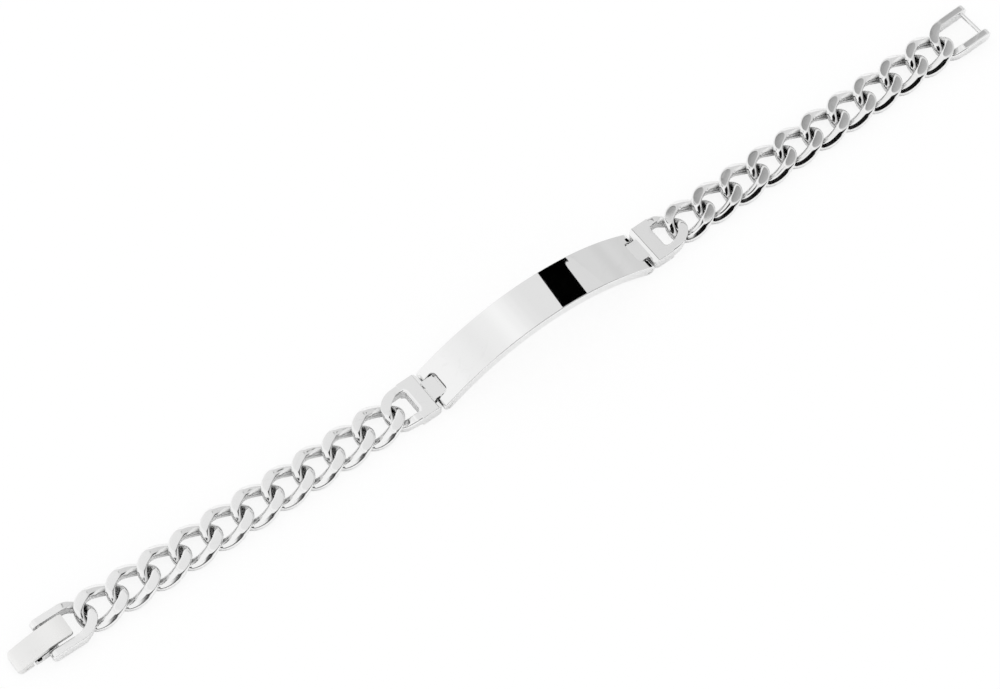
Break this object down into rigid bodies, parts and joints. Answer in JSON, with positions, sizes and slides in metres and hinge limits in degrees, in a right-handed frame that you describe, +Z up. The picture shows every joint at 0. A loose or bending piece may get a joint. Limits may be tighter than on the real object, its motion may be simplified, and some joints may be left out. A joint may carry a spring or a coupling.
{
  "type": "id bracelet",
  "caption": "Curb chain identity bracelet with a curved bare name plate, hinged connectors and a fold-over clasp, lying open and straight.",
  "frame": {"origin": "on the surface that the bracelet lies on, below the middle of its whole length and width", "axes": "+X along the bracelet from the clasp to the free shackle, +Y across it, +Z up"},
  "size_m": [0.2082, 0.0092, 0.0088],
  "materials": {
    "polished_steel": "mirror-polished stainless steel with fine handling scratches",
    "satin_steel": "finely satin-brushed stainless steel",
    "pin_steel": "drawn stainless steel wire, lightly polished"
  },
  "bodies": {
    "root": {"id_plate": "polished_steel", "connector_left": "polished_steel", "connector_right": "polished_steel", "link_left_01": "polished_steel", "link_left_02": "polished_steel", "link_left_03": "polished_steel", "link_left_04": "polished_steel", "link_left_05": "polished_steel", "link_left_06": "polished_steel", "link_left_07": "polished_steel", "link_left_08": "polished_steel", "link_left_09": "polished_steel", "link_left_10": "polished_steel", "link_right_01": "polished_steel", "link_right_02": "polished_steel", "link_right_03": "polished_steel", "link_right_04": "polished_steel", "link_right_05": "polished_steel", "link_right_06": "polished_steel", "link_right_07": "polished_steel", "link_right_08": "polished_steel", "link_right_09": "polished_steel", "link_right_10": "polished_steel", "shackle_left": "polished_steel", "shackle_right": "polished_steel", "hinge_pin_left": "pin_steel", "hinge_pin_right": "pin_steel", "shackle_bar_left": "pin_steel", "shackle_bar_right": "pin_steel"},
    "tongue": {"clasp_tongue": "polished_steel", "lid_pin": "pin_steel"},
    "lid": {"clasp_lid": "satin_steel"}
  },
  "joints": [
    {"name": "clasp_swing", "type": "hinge", "parent": "root", "child": "tongue", "pos_m": [-0.09703, 0.00056, 0.00145], "axis": [0.0257, 0.9997, 0], "range_deg": [-84, 96]},
    {"name": "lid_fold", "type": "hinge", "parent": "tongue", "child": "lid", "pos_m": [-0.10225, 0.00069, 0.00091], "axis": [-0.0257, -0.9997, 0], "range_deg": [0, 105]}
  ]
}
